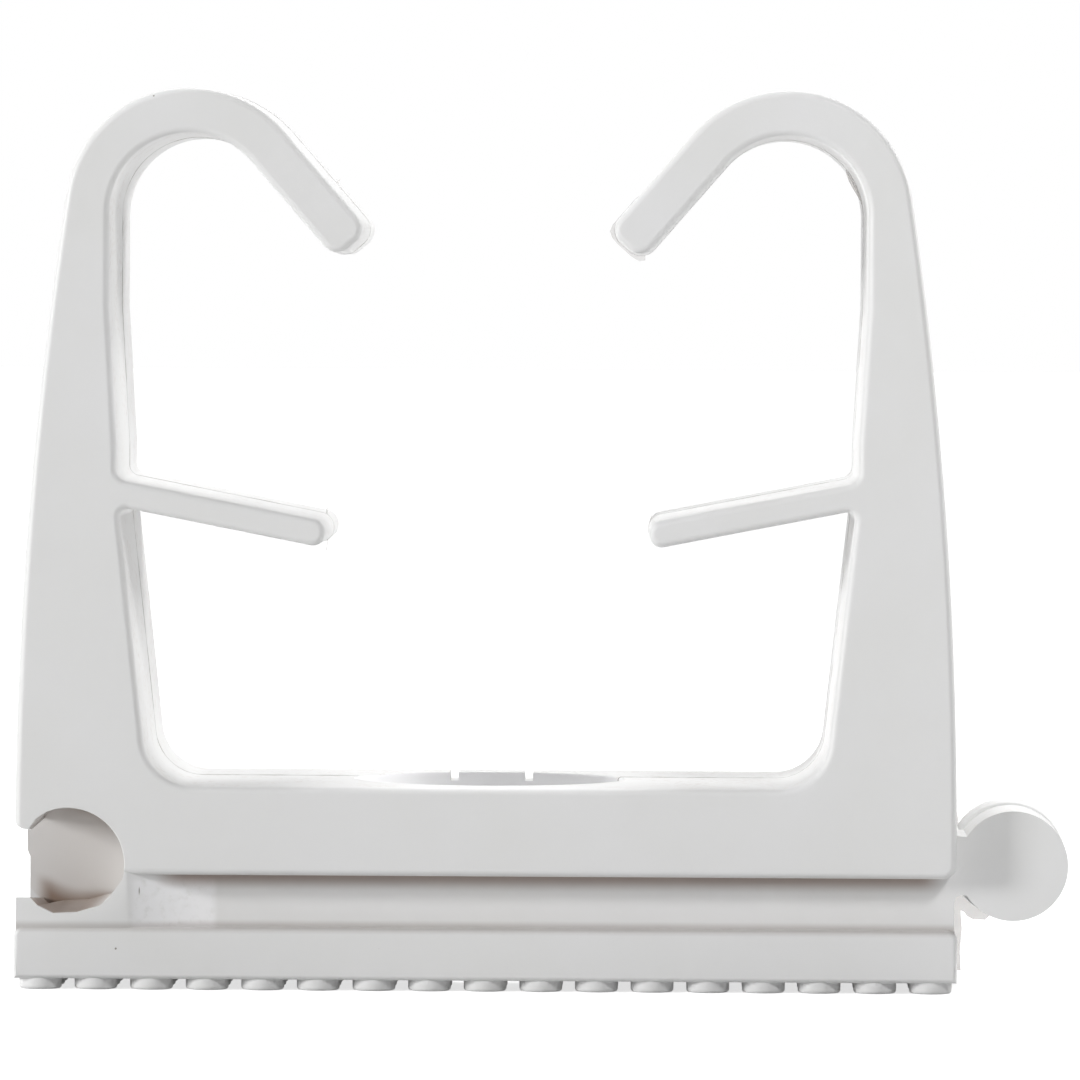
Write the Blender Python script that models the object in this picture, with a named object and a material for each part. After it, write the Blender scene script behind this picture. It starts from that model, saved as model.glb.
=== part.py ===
"""One-piece moulded conduit clip for pipes of about 16 to 32 mm.

Two hooked arms stand on a base with a row of small studs below it. Two spring fingers reach in from the
arms. A C-shaped socket at the left end takes the disc at the right end of the next clip in a row.

Lengths are in metres, +X runs along the row of clips, +Z is up and the front faces -Y. The studs stand on
Z = 0, and the origin is in the middle of the overall length and depth.
"""

import math

import bmesh
import bpy
from mathutils import Vector

MM = 0.001

# Depths in front of and behind the parting plane, where the two halves of the mould meet
FRONT_DEPTH = 9.6 * MM
REAR_DEPTH = 6.4 * MM
EDGE_RADIUS = 0.3 * MM
WALL_DRAFT = 0.1 * MM

# Base, from the studs up
STUD_HEIGHT = 0.55 * MM
STUD_RADIUS = 0.91 * MM
STUD_GAP = 0.54 * MM
STUD_ROW_GAP = 0.5 * MM
STUD_CHAMFER = 0.12 * MM
STUD_MARGIN = 0.1 * MM
FLANGE_THICKNESS = 2.12 * MM
FLANGE_OVERHANG = 0.025 * MM
FLANGE_CORNER = 0.4 * MM
GROOVE_HEIGHT = 2.28 * MM
GROOVE_DEPTH = 1.2 * MM
BEAM_THICKNESS = 3.68 * MM
BEAM_CORNER = 0.6 * MM
FLOOR_CORNER = 2.1 * MM

# The web behind the groove, and its ramp beside the socket; each piece sinks a little into the next
WEB_INSET = 0.07 * MM
SINK = 0.4 * MM
RAMP_LENGTH = 3.2 * MM
RAMP_SOCKET_GAP = 0.35 * MM
RAMP_STEP = 0.15 * MM

# Arms: the pipe's space is the widest between them, and the other places of their sides follow from it
PIPE_WIDTH = 32.1 * MM
PIPE_WALL_LENGTH = 3.9 * MM
WAIST_INSET = 0.35 * MM
WAIST_LENGTH = 1.45 * MM
LOWER_TOP_INSET = 0.45 * MM
LOWER_BOTTOM_INSET = 1.75 * MM
FOOT_OUTSET = 3.9 * MM
FOOT_STRAIGHT = 1.05 * MM

# Hooks
HOOK_HEIGHT = 32.9 * MM
HOOK_INNER_RADIUS = 3.4 * MM
HOOK_THICKNESS = 1.9 * MM
HOOK_SLOPE = 49.0
HOOK_LENGTH = 5.5 * MM
HOOK_END_RADIUS = 0.6 * MM

# Spring fingers
FINGER_GAP = 13.7 * MM
FINGER_TIP_HEIGHT = 19.4 * MM
FINGER_THICKNESS = 1.15 * MM
FINGER_SLOPE = 11.1
FINGER_TIP_RADIUS = 0.5 * MM
FINGER_TOP_FILLET = 0.5 * MM
FINGER_ROOT_FILLET = 0.35 * MM

# Link between neighbouring clips
LINK_GAP = 0.1 * MM
LINK_HEIGHT = 5.33 * MM
DISC_OVERHANG = 2.36 * MM
DISC_RADIUS = 2.31 * MM
DISC_RIM = 0.24 * MM
DISC_RIM_THICKNESS = 0.3 * MM
DISC_RIM_STEP = 0.03 * MM
NECK_HEIGHT = 2.5 * MM
NECK_FILLET = 0.3 * MM
LINK_CLEARANCE = 0.1 * MM
LEAD_IN = 0.18 * MM
LIP_RADIUS = 0.2 * MM

# Screw recess in the floor between the arms
RECESS_RADIUS = 5.75 * MM
RECESS_DEPTH = 1.2 * MM
HOLE_RADIUS = 2.4 * MM
NOTCH_SPACING = 3.14 * MM
NOTCH_WIDTH = 0.5 * MM
NOTCH_DEPTH = 0.6 * MM

# Fineness of the round shapes
ARC_STEP = 14.0
CORNER_STEP = 22.4
ARM_STEPS = 8
STUD_SIDES = 12
HOLE_SIDES = 32
SHARP_ANGLE = 35.0

# How far a cutter runs past what it cuts, and the most that a fillet takes of the room it has
OVERSHOOT = 1.0 * MM
FILLET_SHARE = 0.98

# Levels and places that follow from the sizes above
DEPTH = FRONT_DEPTH + REAR_DEPTH
FRONT = -DEPTH / 2
BACK = DEPTH / 2
PARTING = FRONT + FRONT_DEPTH
FLANGE_TOP = STUD_HEIGHT + FLANGE_THICKNESS
BEAM_BOTTOM = FLANGE_TOP + GROOVE_HEIGHT
FLOOR = BEAM_BOTTOM + BEAM_THICKNESS
FOOT_WIDTH = PIPE_WIDTH + 2 * FOOT_OUTSET
FLANGE_LENGTH = FOOT_WIDTH + 2 * FLANGE_OVERHANG
HOOK_OUTER_RADIUS = HOOK_INNER_RADIUS + HOOK_THICKNESS
DISC_X = FOOT_WIDTH / 2 + DISC_OVERHANG
SOCKET_X = DISC_X - FOOT_WIDTH - LINK_GAP
SOCKET_RADIUS = DISC_RADIUS + LINK_CLEARANCE
MOUTH_HEIGHT = NECK_HEIGHT + 2 * LINK_CLEARANCE
LENGTH_CENTRE = (DISC_X + DISC_RADIUS + DISC_RIM - FLANGE_LENGTH / 2 - WALL_DRAFT) / 2

WHITE_PLASTIC = (0.78, 0.78, 0.77, 1.0)
PLASTIC_ROUGHNESS = 0.5


def clear_scene():
    """Remove every object, so that the part starts from an empty scene."""
    for item in list(bpy.data.objects):
        bpy.data.objects.remove(item, do_unlink=True)


def arc(centre_x, centre_z, radius, start, end):
    """Points of an arc in the front view, from one angle to another in degrees."""
    steps = max(2, 2 * math.ceil(abs(end - start) / ARC_STEP / 2))
    points = []
    for index in range(steps + 1):
        angle = math.radians(start + (end - start) * index / steps)
        points.append((centre_x + radius * math.cos(angle), centre_z + radius * math.sin(angle)))
    return points


def corner_sides(corners, index):
    """A corner, and the vectors from it to the corners before and after it."""
    corner = Vector(corners[index][:2])
    before = Vector(corners[index - 1][:2]) - corner
    after = Vector(corners[(index + 1) % len(corners)][:2]) - corner
    return corner, before, after


def fillet_reach(corners, index):
    """Length of each side that the fillet at a corner takes."""
    corner, before, after = corner_sides(corners, index)
    return corners[index][2] / math.tan(before.angle(after) / 2)


def fillet_radius(corners, index):
    """Radius of a corner's fillet, limited where it and the next fillet would meet on a short side."""
    radius = corners[index][2]
    corner, before, after = corner_sides(corners, index)
    following = (index + 1) % len(corners)
    own = fillet_reach(corners, index)
    for side, neighbour in ((before, index - 1), (after, following)):
        room = side.length / (own + fillet_reach(corners, neighbour))
        radius = min(radius, corners[index][2] * FILLET_SHARE * room)
    return radius


def round_corners(corners):
    """Turn corners given as (x, z, radius) into outline points, with an arc at each rounded corner."""
    points = []
    for index, (x, z, asked_radius) in enumerate(corners):
        if asked_radius == 0:
            points.append((x, z))
            continue
        radius = fillet_radius(corners, index)
        corner, before, after = corner_sides(corners, index)
        half_angle = before.angle(after) / 2
        before.normalize()
        after.normalize()
        centre = corner + (before + after).normalized() * radius / math.sin(half_angle)
        first = corner + before * radius / math.tan(half_angle) - centre
        turn = math.pi - 2 * half_angle
        if before.x * after.y - before.y * after.x > 0:
            turn = -turn
        steps = max(2, math.ceil(abs(math.degrees(turn)) / CORNER_STEP))
        for step in range(steps + 1):
            angle = turn * step / steps
            cosine = math.cos(angle)
            sine = math.sin(angle)
            points.append((centre.x + first.x * cosine - first.y * sine,
                           centre.y + first.x * sine + first.y * cosine))
    return points


def offset(outline, distance):
    """Move every side of an anticlockwise outline outwards by a distance, with mitred corners."""
    moved = []
    for index, point in enumerate(outline):
        here = Vector(point)
        into = (here - Vector(outline[index - 1])).normalized()
        out = (Vector(outline[(index + 1) % len(outline)]) - here).normalized()
        normal_in = Vector((into.y, -into.x))
        normal_out = Vector((out.y, -out.x))
        corner = here + (normal_in + normal_out) * distance / (1 + normal_in.dot(normal_out))
        moved.append((corner.x, corner.y))
    return moved


def circle(radius, sides):
    """Points of a circle about the origin."""
    points = []
    for index in range(sides):
        angle = 2 * math.pi * index / sides
        points.append((radius * math.cos(angle), radius * math.sin(angle)))
    return points


def loft_rings(mesh, rings):
    """Join rings of points with quads and close both ends; each ring has the same number of points."""
    loops = [[mesh.verts.new(point) for point in ring] for ring in rings]
    count = len(loops[0])
    for lower, upper in zip(loops, loops[1:]):
        for index in range(count):
            following = (index + 1) % count
            mesh.faces.new((lower[index], lower[following], upper[following], upper[index]))
    mesh.faces.new(list(reversed(loops[0])))
    mesh.faces.new(loops[-1])


def make_object(name, mesh):
    """Turn a bmesh into an object in the scene, with its faces pointing out."""
    bmesh.ops.recalc_face_normals(mesh, faces=mesh.faces)
    data = bpy.data.meshes.new(name)
    mesh.to_mesh(data)
    mesh.free()
    item = bpy.data.objects.new(name, data)
    bpy.context.scene.collection.objects.link(item)
    return item


def loft_in_depth(name, sections):
    """Solid through outlines of the front view, each given with its place along Y."""
    mesh = bmesh.new()
    loft_rings(mesh, [[(x, y, z) for x, z in outline] for outline, y in sections])
    return make_object(name, mesh)


def loft_in_height(name, sections):
    """Solid through outlines of the plan view, each given with its height."""
    mesh = bmesh.new()
    loft_rings(mesh, [[(x, y, z) for x, y in outline] for outline, z in sections])
    return make_object(name, mesh)


def moulded_plate(name, corners):
    """Full-depth plate: rounded front and back edges, and walls that widen towards the parting plane.

    The edge's radius is kept below that of the smallest rounded corner.
    """
    outline = round_corners(corners)
    smallest = min(radius for x, z, radius in corners if radius > 0)
    edge = min(EDGE_RADIUS, FILLET_SHARE * smallest)
    midway = edge * (1 - math.sqrt(0.5))
    sections = [
        (offset(outline, -edge), FRONT),
        (offset(outline, -midway), FRONT + midway),
        (outline, FRONT + edge),
        (offset(outline, WALL_DRAFT), PARTING),
        (outline, BACK - edge),
        (offset(outline, -midway), BACK - midway),
        (offset(outline, -edge), BACK),
    ]
    return loft_in_depth(name, sections)


def combine(target, tool, operation):
    """Apply a Boolean of the tool to the target, and remove the tool."""
    modifier = target.modifiers.new(operation.title(), "BOOLEAN")
    modifier.operation = operation
    modifier.solver = "EXACT"
    modifier.object = tool
    depsgraph = bpy.context.evaluated_depsgraph_get()
    result = bpy.data.meshes.new_from_object(target.evaluated_get(depsgraph))
    target.modifiers.clear()
    target.data = result
    bpy.data.objects.remove(tool, do_unlink=True)


def tangent_arm_arc():
    """Centre and radius of the arm's outer arc, upright at the foot and tangent to the hook's outer arc.

    The foot lies outside the hook's centre by the reach, and below it by the rise.
    """
    hook_x = -(PIPE_WIDTH / 2 - HOOK_INNER_RADIUS)
    foot_z = BEAM_BOTTOM + FOOT_STRAIGHT
    reach = hook_x + FOOT_WIDTH / 2
    rise = HOOK_HEIGHT - foot_z
    radius = (reach ** 2 + rise ** 2 - HOOK_OUTER_RADIUS ** 2) / (2 * (reach - HOOK_OUTER_RADIUS))
    return -FOOT_WIDTH / 2 + radius, foot_z, radius


def arm_corners():
    """Front view of the beam, both arms, their hooks and their spring fingers."""
    hook_x = -(PIPE_WIDTH / 2 - HOOK_INNER_RADIUS)
    slope = math.radians(HOOK_SLOPE)
    along = Vector((math.cos(slope), -math.sin(slope)))
    across = Vector((math.sin(slope), math.cos(slope)))
    hook_centre = Vector((hook_x, HOOK_HEIGHT))
    inner_end = hook_centre + across * HOOK_INNER_RADIUS + along * HOOK_LENGTH
    outer_end = hook_centre + across * HOOK_OUTER_RADIUS + along * HOOK_LENGTH

    lean = math.radians(FINGER_SLOPE)
    tip_x = -FINGER_GAP / 2
    half_finger = FINGER_THICKNESS / 2 / math.cos(lean)

    def finger_z(x, side):
        return FINGER_TIP_HEIGHT + (tip_x - x) * math.tan(lean) + side * half_finger

    arm_centre_x, arm_centre_z, arm_radius = tangent_arm_arc()
    meeting = math.degrees(math.atan2(HOOK_HEIGHT - arm_centre_z, hook_x - arm_centre_x))

    wall_x = -PIPE_WIDTH / 2
    lower_x = wall_x + LOWER_TOP_INSET
    waist_x = wall_x + WAIST_INSET
    half = [(wall_x + LOWER_BOTTOM_INSET, FLOOR, FLOOR_CORNER)]
    half.append((lower_x, finger_z(lower_x, -1), FINGER_ROOT_FILLET))
    half.append((tip_x, finger_z(tip_x, -1), FINGER_TIP_RADIUS))
    half.append((tip_x, finger_z(tip_x, 1), FINGER_TIP_RADIUS))
    half.append((waist_x, finger_z(waist_x, 1), FINGER_TOP_FILLET))
    half.append((waist_x, finger_z(waist_x, 1) + WAIST_LENGTH, 0))
    half.append((wall_x, HOOK_HEIGHT - PIPE_WALL_LENGTH, 0))
    for x, z in arc(hook_x, HOOK_HEIGHT, HOOK_INNER_RADIUS, 180, 90 - HOOK_SLOPE):
        half.append((x, z, 0))
    half.append((*inner_end, HOOK_END_RADIUS))
    half.append((*outer_end, HOOK_END_RADIUS))
    for x, z in arc(hook_x, HOOK_HEIGHT, HOOK_OUTER_RADIUS, 90 - HOOK_SLOPE, meeting):
        half.append((x, z, 0))
    for index in range(1, ARM_STEPS + 1):
        angle = math.radians(meeting + (180 - meeting) * index / ARM_STEPS)
        half.append((arm_centre_x + arm_radius * math.cos(angle),
                     arm_centre_z + arm_radius * math.sin(angle), 0))
    half.append((-FOOT_WIDTH / 2, BEAM_BOTTOM, BEAM_CORNER))

    return half + [(-x, z, radius) for x, z, radius in reversed(half)]


def arms_and_beam():
    """The beam, the arms, the hooks and the spring fingers as one plate."""
    return moulded_plate("arms_and_beam", arm_corners())


def flange():
    """Bottom plate that carries the studs."""
    half = FLANGE_LENGTH / 2
    corners = [
        (-half, STUD_HEIGHT, 0),
        (half, STUD_HEIGHT, 0),
        (half, FLANGE_TOP, FLANGE_CORNER),
        (-half, FLANGE_TOP, FLANGE_CORNER),
    ]
    return moulded_plate("flange", corners)


def link_web():
    """Front part of the web, which runs out into the neck and the disc in one plane."""
    side = FOOT_WIDTH / 2 - WEB_INSET
    low = FLANGE_TOP - SINK
    high = LINK_HEIGHT + NECK_HEIGHT / 2 + 2 * NECK_FILLET
    neck = NECK_HEIGHT / 2
    opening = math.degrees(math.asin(neck / DISC_RADIUS))
    corners = [(-side, low, 0), (side, low, 0), (side, LINK_HEIGHT - neck, NECK_FILLET)]
    for x, z in arc(DISC_X, LINK_HEIGHT, DISC_RADIUS, opening - 180, 180 - opening):
        corners.append((x, z, 0))
    corners += [(side, LINK_HEIGHT + neck, NECK_FILLET), (side, high, 0), (-side, high, 0)]
    outline = round_corners(corners)
    sections = [
        (outline, FRONT + GROOVE_DEPTH),
        (offset(outline, WALL_DRAFT / 2), PARTING),
    ]
    return loft_in_depth("link_web", sections)


def disc_rim():
    """Thin rim of squeezed-out plastic round the disc's rear edge, at the parting plane."""
    outline = [(DISC_X + x, LINK_HEIGHT + z) for x, z in circle(DISC_RADIUS + DISC_RIM, HOLE_SIDES)]
    rear = PARTING - DISC_RIM_STEP
    slope = DISC_RIM / 2
    sections = [
        (offset(outline, -slope), rear - DISC_RIM_THICKNESS),
        (outline, rear - DISC_RIM_THICKNESS + slope),
        (outline, rear),
    ]
    return loft_in_depth("disc_rim", sections)


def rear_web():
    """Rear part of the web, behind the parting plane."""
    side = FOOT_WIDTH / 2 - WEB_INSET
    low = FLANGE_TOP - SINK
    high = BEAM_BOTTOM + SINK
    outline = [(-side, low), (side, low), (side, high), (-side, high)]
    sections = [(outline, PARTING - OVERSHOOT), (outline, BACK - GROOVE_DEPTH)]
    return loft_in_depth("rear_web", sections)


def socket_ramp():
    """Ramp that brings the groove's floor out to the front beside and below the socket."""
    left = -(FOOT_WIDTH / 2 - WEB_INSET)
    top = SOCKET_X + SOCKET_RADIUS + LEAD_IN + RAMP_SOCKET_GAP
    foot = top + RAMP_LENGTH
    front = FRONT + RAMP_STEP
    floor = FRONT + GROOVE_DEPTH
    slope = (floor - front) / RAMP_LENGTH
    buried = foot + OVERSHOOT
    plan = [
        (left, front),
        (top, front),
        (buried, floor + slope * OVERSHOOT),
        (buried, PARTING),
        (left, PARTING),
    ]
    sections = [(plan, FLANGE_TOP - SINK), (plan, BEAM_BOTTOM + SINK)]
    return loft_in_height("socket_ramp", sections)


def socket_cutter():
    """Round socket that is open to the front and, through a mouth with rounded lips, to the left."""
    half_mouth = MOUTH_HEIGHT / 2
    lip_x = -FOOT_WIDTH / 2
    beyond = -FLANGE_LENGTH / 2 - OVERSHOOT
    opening = math.degrees(math.asin(half_mouth / SOCKET_RADIUS))
    low = LINK_HEIGHT - half_mouth - LIP_RADIUS
    high = LINK_HEIGHT + half_mouth + LIP_RADIUS
    outline = [(beyond, low)]
    outline += arc(lip_x + LIP_RADIUS, low, LIP_RADIUS, 180, 90)
    outline += arc(SOCKET_X, LINK_HEIGHT, SOCKET_RADIUS, opening - 180, 180 - opening)
    outline += arc(lip_x + LIP_RADIUS, high, LIP_RADIUS, 270, 180)
    outline.append((beyond, high))
    sections = [(outline, FRONT - OVERSHOOT), (outline, PARTING + LINK_CLEARANCE)]
    return loft_in_depth("socket_cutter", sections)


def lead_in_cutter():
    """Cone that opens the socket's front edge, so that a disc finds its way in."""
    wide = SOCKET_RADIUS + LEAD_IN + OVERSHOOT
    narrow = SOCKET_RADIUS - LEAD_IN
    sections = []
    for radius, y in ((wide, FRONT - OVERSHOOT), (narrow, FRONT + 2 * LEAD_IN)):
        sections.append(([(SOCKET_X + x, LINK_HEIGHT + z) for x, z in circle(radius, HOLE_SIDES)], y))
    return loft_in_depth("lead_in_cutter", sections)


def recess_cutter():
    """Flat-bottomed round recess for the screw's head."""
    outline = circle(RECESS_RADIUS, HOLE_SIDES)
    sections = [(outline, FLOOR - RECESS_DEPTH), (outline, FLOOR + OVERSHOOT)]
    return loft_in_height("recess_cutter", sections)


def hole_cutter():
    """Screw hole through the whole base."""
    outline = circle(HOLE_RADIUS, HOLE_SIDES)
    sections = [(outline, -OVERSHOOT), (outline, FLOOR)]
    return loft_in_height("hole_cutter", sections)


def notch_cutter(centre_x):
    """Shallow notch that runs from the recess to the back of the floor."""
    low = centre_x - NOTCH_WIDTH / 2
    high = centre_x + NOTCH_WIDTH / 2
    plan = [(low, HOLE_RADIUS), (high, HOLE_RADIUS), (high, BACK + OVERSHOOT), (low, BACK + OVERSHOOT)]
    sections = [(plan, FLOOR - NOTCH_DEPTH), (plan, FLOOR + OVERSHOOT)]
    return loft_in_height("notch_cutter", sections)


def centred_places(length, pitch):
    """Places of as many studs as fit a length at a pitch, about the middle."""
    room = length - 2 * STUD_RADIUS - 2 * STUD_MARGIN
    count = math.floor(room / pitch) + 1
    return [pitch * (index - (count - 1) / 2) for index in range(count)]


def studs():
    """Grid of round studs under the flange, left out round the screw hole."""
    mesh = bmesh.new()
    keep_out = HOLE_RADIUS + STUD_RADIUS + STUD_MARGIN
    tip = circle(STUD_RADIUS - STUD_CHAMFER, STUD_SIDES)
    side = circle(STUD_RADIUS, STUD_SIDES)
    levels = [(tip, 0.0), (side, STUD_CHAMFER), (side, STUD_HEIGHT + SINK)]
    for column in centred_places(FLANGE_LENGTH, 2 * STUD_RADIUS + STUD_GAP):
        for row in centred_places(DEPTH, 2 * STUD_RADIUS + STUD_ROW_GAP):
            if math.hypot(column, row) < keep_out:
                continue
            rings = []
            for outline, height in levels:
                rings.append([(column + x, row + y, height) for x, y in outline])
            loft_rings(mesh, rings)
    return make_object("studs", mesh)


def white_plastic():
    """Satin white moulded plastic."""
    material = bpy.data.materials.new("white_plastic")
    material.use_nodes = True
    shader = material.node_tree.nodes["Principled BSDF"]
    shader.inputs["Base Color"].default_value = WHITE_PLASTIC
    shader.inputs["Roughness"].default_value = PLASTIC_ROUGHNESS
    shader.inputs["Metallic"].default_value = 0.0
    return material


def clip_body():
    """The whole clip as one solid."""
    body = arms_and_beam()
    combine(body, link_web(), "UNION")
    combine(body, rear_web(), "UNION")
    combine(body, disc_rim(), "UNION")
    combine(body, socket_ramp(), "UNION")
    combine(body, flange(), "UNION")
    combine(body, socket_cutter(), "DIFFERENCE")
    combine(body, lead_in_cutter(), "DIFFERENCE")
    combine(body, recess_cutter(), "DIFFERENCE")
    combine(body, studs(), "UNION")
    combine(body, hole_cutter(), "DIFFERENCE")
    for side in (-1, 1):
        combine(body, notch_cutter(side * NOTCH_SPACING / 2), "DIFFERENCE")
    body.name = "clip_body"
    body.data.name = "clip_body"
    body.data.materials.clear()
    body.data.materials.append(white_plastic())
    body.data.shade_smooth()
    body.data.set_sharp_from_angle(angle=math.radians(SHARP_ANGLE))
    body.location.x = -LENGTH_CENTRE
    return body


def main():
    clear_scene()
    clip_body()


main()
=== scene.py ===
"""Looks of a one-piece moulded conduit clip, modelled round its packed form.

The clip is drawn again with finer arcs, round edges, the mould's parting line and flash, uneven lips at its
socket and round-tipped studs. It is given its plastic, with wear, dust, painted shade and painted light, and
stands in a white studio.

Lengths are in metres where nothing else is said. Outlines are drawn about the middle of the clip's body, and
the finished pieces are then moved to its place.
"""

import math

import bmesh
import bpy
from bpy.props import FloatProperty, FloatVectorProperty, IntProperty, PointerProperty
from bpy.types import Operator, Panel, PropertyGroup
from mathutils import Matrix, Vector


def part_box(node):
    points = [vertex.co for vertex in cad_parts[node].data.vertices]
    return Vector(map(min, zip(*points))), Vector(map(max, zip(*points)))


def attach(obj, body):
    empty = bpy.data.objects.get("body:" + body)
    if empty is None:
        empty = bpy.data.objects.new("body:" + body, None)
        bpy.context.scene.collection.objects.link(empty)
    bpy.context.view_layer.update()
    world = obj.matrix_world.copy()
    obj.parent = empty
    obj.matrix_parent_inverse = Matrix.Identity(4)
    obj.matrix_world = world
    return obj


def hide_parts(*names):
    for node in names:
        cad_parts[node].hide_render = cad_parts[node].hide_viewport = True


bl_info = {
    "name": "Moulded Conduit Clip",
    "version": (1, 0, 0),
    "blender": (4, 5, 0),
    "location": "View3D > Sidebar > Conduit Clip",
    "description": "Models a one-piece moulded conduit clip and a plain white studio",
    "category": "Object",
}

MM = 0.001
# Distance within which two places count as the same
NEAR = 0.00001

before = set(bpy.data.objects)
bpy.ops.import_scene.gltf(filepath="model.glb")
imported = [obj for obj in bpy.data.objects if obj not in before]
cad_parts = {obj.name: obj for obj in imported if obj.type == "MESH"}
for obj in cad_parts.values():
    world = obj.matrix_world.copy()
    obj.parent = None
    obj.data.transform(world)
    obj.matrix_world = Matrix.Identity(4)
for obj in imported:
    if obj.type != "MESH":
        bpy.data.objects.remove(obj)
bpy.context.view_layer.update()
CLIP_LOW, CLIP_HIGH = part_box("clip_body")

# Share of the depth in front of the parting plane, and what draft adds at the packed flange's end
PARTING_SHARE = 0.6
PACKED_DRAFT = 0.1 * MM
FRONT = CLIP_LOW.y
BACK = CLIP_HIGH.y
PARTING = FRONT + PARTING_SHARE * (BACK - FRONT)
TOP = CLIP_HIGH.z


def hex_colour(code):
    """Linear red, green and blue of an sRGB hex colour."""
    values = [int(code[start:start + 2], 16) / 255 for start in (0, 2, 4)]
    return tuple(value / 12.92 if value <= 0.04045 else ((value + 0.055) / 1.055) ** 2.4 for value in values)


def length(name, millimetres, description):
    """Property that holds a length."""
    return FloatProperty(name=name, description=description, default=millimetres * MM,
                         precision=5, unit="LENGTH", subtype="DISTANCE")


def slope(name, degrees, description):
    """Property that holds an angle."""
    return FloatProperty(name=name, description=description, default=math.radians(degrees),
                         unit="ROTATION", subtype="ANGLE")


def colour(name, code, description):
    """Property that holds a colour."""
    return FloatVectorProperty(name=name, description=description, default=hex_colour(code),
                               subtype="COLOR", size=3, min=0, max=1)


def share(name, default, description):
    """Property that holds a share from 0 to 1."""
    return FloatProperty(name=name, description=description, default=default,
                         subtype="FACTOR", min=0, max=1)


class ClipMouldSizes(PropertyGroup):
    """What the mould gives to every wall."""

    edge_radius: length("Edge radius", 0.3, "Radius of the front and back edges")
    draft: length("Draft", 0.05, "How far a wall widens up to the parting plane")
    fin_height: length("Fin height", 0.02, "How far the parting line stands proud")
    fin_width: length("Fin width", 0.12, "Width of the parting line")
    edge_segments: IntProperty(name="Edge segments", description="Facets across a round edge", default=4)
    arc_step: slope("Arc step", 4.0, "Angle that one facet of a large arc covers")


class ClipArmSizes(PropertyGroup):
    """Arms, hooks and spring fingers, in the front view."""

    pipe_width: length("Pipe width", 32.1, "Widest space between the arms")
    wall_length: length("Upright wall", 3.9, "Upright wall below the hook")
    waist_inset: length("Waist inset", 0.35, "Inset of the inner wall above the finger")
    waist_length: length("Waist length", 1.45, "Upright wall above the finger")
    lower_top_inset: length("Lower top inset", 0.45, "Inset of the inner wall below the finger")
    lower_bottom_inset: length("Lower bottom inset", 1.75, "Inset of the inner wall at the floor")
    foot_outset: length("Foot outset", 3.9, "Width of an arm at its foot")
    foot_straight: length("Foot straight", 1.05, "Upright side of the foot")
    floor_corner: length("Floor corner", 2.1, "Radius at the floor's ends")
    beam_corner: length("Beam corner", 0.6, "Radius at the foot's lower corner")
    hook_height: length("Hook centre height", 32.9, "Height of the hook's centre")
    hook_radius: length("Hook inner radius", 3.4, "Radius of the hook's inner arc")
    hook_thickness: length("Hook thickness", 1.9, "Thickness of the hook")
    hook_slope: slope("Hook slope", 49.0, "Angle of the hook's end below the level")
    hook_length: length("Hook end", 5.5, "Straight part of the hook's end")
    hook_corner: length("Hook corner", 0.72, "Radius at the hook's corners")
    finger_gap: length("Finger gap", 13.7, "Space between the fingers")
    finger_height: length("Finger height", 19.33, "Height of the fingers' tips")
    finger_thickness: length("Finger thickness", 1.15, "Thickness of a finger")
    finger_slope: slope("Finger slope", 11.1, "Angle of the fingers below the level")
    finger_corner: length("Finger corner", 0.55, "Radius at a finger's tip")
    finger_top_fillet: length("Upper fillet", 0.5, "Radius above a finger's root")
    finger_root_fillet: length("Lower fillet", 0.35, "Radius below a finger's root")


class ClipBaseSizes(PropertyGroup):
    """Flange, studs, groove and beam, from the studs up."""

    stud_height: length("Stud height", 0.47, "Height of the studs")
    stud_radius: length("Stud radius", 0.91, "Radius of a stud")
    stud_tip: length("Stud tip radius", 0.14, "Radius at a stud's tip")
    stud_gap: length("Stud gap", 0.54, "Gap between studs along the clip")
    stud_row_gap: length("Stud row gap", 0.5, "Gap between rows of studs")
    flange_thickness: length("Flange thickness", 2.2, "Thickness of the bottom flange")
    flange_overhang: length("Flange overhang", 0.025, "How far the flange passes the foot")
    flange_corner: length("Flange corner", 0.4, "Radius at the flange's upper ends")
    flange_edge: length("Flange edge", 0.2, "Radius of the flange's long edges")
    groove_height: length("Groove height", 2.22, "Height of the groove")
    groove_depth: length("Groove depth", 1.2, "Depth of the groove")
    beam_thickness: length("Beam thickness", 3.74, "Thickness of the beam")
    ramp_flat: length("Ramp flat", 0.1, "Flat part between the socket and the ramp")
    ramp_length: length("Ramp length", 3.6, "Length of the ramp")
    ramp_step: length("Ramp step", 0.08, "How far the ramp lies behind the front")
    pad_place: length("Pad place", 12.6, "Distance of a pad from the middle")
    pad_width: length("Pad width", 2.15, "Width of the two pads in the groove")
    pad_height: length("Pad height", 0.04, "How far a pad stands proud")


class ClipLinkSizes(PropertyGroup):
    """Disc, neck and socket."""

    height: length("Socket height", 5.3, "Height of the socket's centre")
    disc_height: length("Disc height", 5.4, "Height of the disc's centre")
    overhang: length("Disc overhang", 2.42, "From the foot's side to the disc's centre")
    gap: length("Link gap", 0.16, "Gap between the feet of two linked clips")
    disc_radius: length("Disc radius", 2.33, "Radius of the disc's front")
    disc_rear_radius: length("Disc rear radius", 2.46, "Radius of the disc behind its crease")
    disc_front_depth: length("Disc front depth", 5.2, "Depth of the disc in front of its crease")
    ring_radius: length("Flash ring radius", 2.55, "Radius of the flash round the disc")
    ring_shift: length("Ring shift", 0.06, "How far the rear part lies nearer to the foot")
    flash: length("Flash thickness", 0.06, "Thickness of the flash")
    neck_height: length("Neck height", 2.5, "Height of the neck behind the disc")
    neck_fillet: length("Neck fillet", 0.3, "Radius between the neck and the foot")
    clearance: length("Clearance", 0.08, "Gap between a disc and its socket")
    rim_radius: length("Socket rim radius", 0.04, "Radius of the socket's front edge")
    lip_fall: length("Lip fall", 0.6, "How far the lower lip falls towards the back")


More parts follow.
